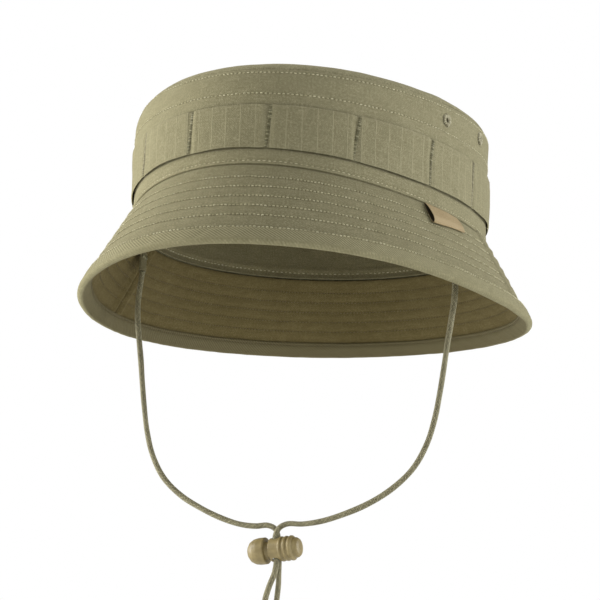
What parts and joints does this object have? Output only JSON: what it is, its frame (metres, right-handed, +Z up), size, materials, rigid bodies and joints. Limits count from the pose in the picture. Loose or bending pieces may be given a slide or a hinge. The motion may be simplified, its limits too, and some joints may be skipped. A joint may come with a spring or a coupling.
{
  "type": "boonie hat",
  "caption": "Short-brimmed boonie hat with a low oval crown, stitched loop band, bound sloping brim, blank seam tag, and a braided chin cord with a sprung cord lock.",
  "frame": {"origin": "centre of the head opening, on the level where the crown is sewn to the brim", "axes": "+Z up through the crown, -Y to the front of the hat, +X to the wearer's left"},
  "size_m": [0.2183, 0.2641, 0.3164],
  "materials": {
    "crown_cloth": "matt olive cotton-blend ripstop",
    "band_cloth": "matt olive ripstop, grid of raised threads",
    "brim_cloth": "matt olive ripstop, stitched in rings",
    "brim_under_cloth": "matt olive cloth, in shade",
    "binding_cloth": "matt olive cloth cut on the bias",
    "lining_cloth": "soft matt olive cotton",
    "interlining": "stiff non-woven sheet",
    "thread": "pale olive polyester thread",
    "tag_ribbon": "tan woven ribbon, blank",
    "cord_braid": "round braided olive cord",
    "lock_plastic": "moulded olive plastic, satin",
    "spring_wire": "bright steel spring wire"
  },
  "bodies": {
    "hat": {"crown_wall": "crown_cloth", "crown_tip": "crown_cloth", "loop_band": "band_cloth", "crown_facing_tape": "lining_cloth", "sweatband": "lining_cloth", "brim_upper_front": "brim_cloth", "brim_upper_rear": "brim_cloth", "brim_lower_front": "brim_under_cloth", "brim_lower_rear": "brim_under_cloth", "brim_stiffener_front": "interlining", "brim_stiffener_rear": "interlining", "brim_binding": "binding_cloth", "label_tag": "tag_ribbon", "cord_anchor_left": "crown_cloth", "cord_anchor_right": "crown_cloth", "anchor_tack_left": "thread", "anchor_tack_right": "thread", "bartack_01": "thread", "bartack_02": "thread", "bartack_03": "thread", "bartack_04": "thread", "bartack_05": "thread", "bartack_06": "thread", "bartack_07": "thread", "bartack_08": "thread", "bartack_09": "thread", "bartack_10": "thread", "bartack_11": "thread", "bartack_12": "thread", "bartack_13": "thread", "bartack_14": "thread", "eyelet_left_front": "thread", "eyelet_left_rear": "thread", "eyelet_right_front": "thread", "eyelet_right_rear": "thread"},
    "chin_cord": {"chin_cord": "cord_braid"},
    "cord_lock": {"cord_lock_barrel": "lock_plastic", "cord_lock_spring": "spring_wire"},
    "lock_button": {"cord_lock_button": "lock_plastic"}
  },
  "joints": [
    {"name": "chin_cord_swing", "type": "hinge", "parent": "hat", "child": "chin_cord", "pos_m": [0, -0.02, -0.0198], "axis": [1, 0, 0], "range_deg": [-35, 35]},
    {"name": "cord_lock_slide", "type": "slide", "parent": "chin_cord", "child": "cord_lock", "axis": [0, 0, -1], "range_m": [0, 0.05], "deforming": ["chin_cord"]},
    {"name": "lock_button_press", "type": "slide", "parent": "cord_lock", "child": "lock_button", "axis": [0.9962, 0, 0.0872], "range_m": [0, 0.0022], "stiffness_N_per_m": 600, "springref_m": -0.004, "deforming": ["cord_lock_spring"]}
  ]
}
